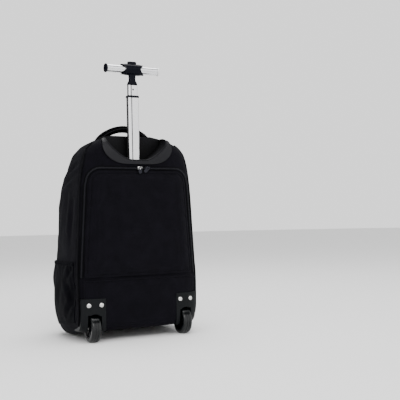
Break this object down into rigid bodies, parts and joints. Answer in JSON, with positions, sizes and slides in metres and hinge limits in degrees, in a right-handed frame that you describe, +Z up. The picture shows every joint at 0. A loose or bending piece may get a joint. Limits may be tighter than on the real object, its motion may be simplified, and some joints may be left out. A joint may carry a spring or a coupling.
{
  "type": "wheeled backpack",
  "caption": "Soft backpack on wheels with a zipped back cover, side pockets, an arched haul handle and a telescopic pull handle with a cross grip",
  "frame": {"origin": "on the floor, under the middle of the bag's bounding box, wheels included", "axes": "+Z up along the pull handle; +X across the bag, to the right of someone facing its wheels; +Y from the wheels and the pull handle towards the front of the bag"},
  "size_m": [0.3414, 0.2572, 0.6755],
  "materials": {
    "body_cloth": "matte woven polyester",
    "panel_cloth": "matte woven polyester, padded",
    "zip_tape": "coil zip on woven tape",
    "handle_webbing": "padded webbing",
    "tray_plastic": "satin moulded",
    "housing_plastic": "fine grained moulded",
    "black_plastic": "satin moulded",
    "cap_grey": "light grey moulded",
    "tyre_rubber": "smooth cast",
    "axle_steel": "turned",
    "pole_aluminium": "satin anodised",
    "bar_chrome": "polished",
    "rivet_steel": "polished dome",
    "zip_metal": "plated casting"
  },
  "bodies": {
    "bag": {"body_shell": "body_cloth", "side_pocket_left": "body_cloth", "side_pocket_right": "body_cloth", "back_cover": "panel_cloth", "lower_panel": "panel_cloth", "cover_zip": "zip_tape", "haul_handle": "handle_webbing", "handle_tray": "tray_plastic", "tray_rim": "tray_plastic", "wheel_housing_left": "housing_plastic", "wheel_housing_right": "housing_plastic", "axle_left": "axle_steel", "axle_right": "axle_steel", "outer_tube": "pole_aluminium", "zip_pull_1": "zip_metal", "zip_pull_2": "zip_metal", "rivet_left_1": "rivet_steel", "rivet_left_2": "rivet_steel", "rivet_right_1": "rivet_steel", "rivet_right_2": "rivet_steel"},
    "wheel_left": {"wheel_core_left": "black_plastic", "tyre_left": "tyre_rubber"},
    "wheel_right": {"wheel_core_right": "black_plastic", "tyre_right": "tyre_rubber"},
    "pole_middle": {"middle_tube": "pole_aluminium", "middle_collar": "black_plastic"},
    "pole_inner": {"inner_tube": "pole_aluminium", "grip_hub": "black_plastic", "grip_bar_left": "bar_chrome", "grip_bar_right": "bar_chrome", "end_cap_left": "black_plastic", "end_cap_right": "cap_grey"},
    "button": {"push_button": "black_plastic"}
  },
  "joints": [
    {"name": "wheel_left_spin", "type": "hinge", "parent": "bag", "child": "wheel_left", "pos_m": [-0.1175, -0.09625, 0.0325], "axis": [1, 0, 0], "continuous": true},
    {"name": "wheel_right_spin", "type": "hinge", "parent": "bag", "child": "wheel_right", "pos_m": [0.1175, -0.09625, 0.0325], "axis": [1, 0, 0], "continuous": true},
    {"name": "middle_slide", "type": "slide", "parent": "bag", "child": "pole_middle", "axis": [0, 0, 1], "range_m": [-0.152, 0.07]},
    {"name": "inner_slide", "type": "slide", "parent": "pole_middle", "child": "pole_inner", "axis": [0, 0, 1], "range_m": [-0.024, 0.2]},
    {"name": "button_press", "type": "slide", "parent": "pole_inner", "child": "button", "axis": [0, 0, -1], "range_m": [0, 0.003], "stiffness_N_per_m": 400}
  ]
}
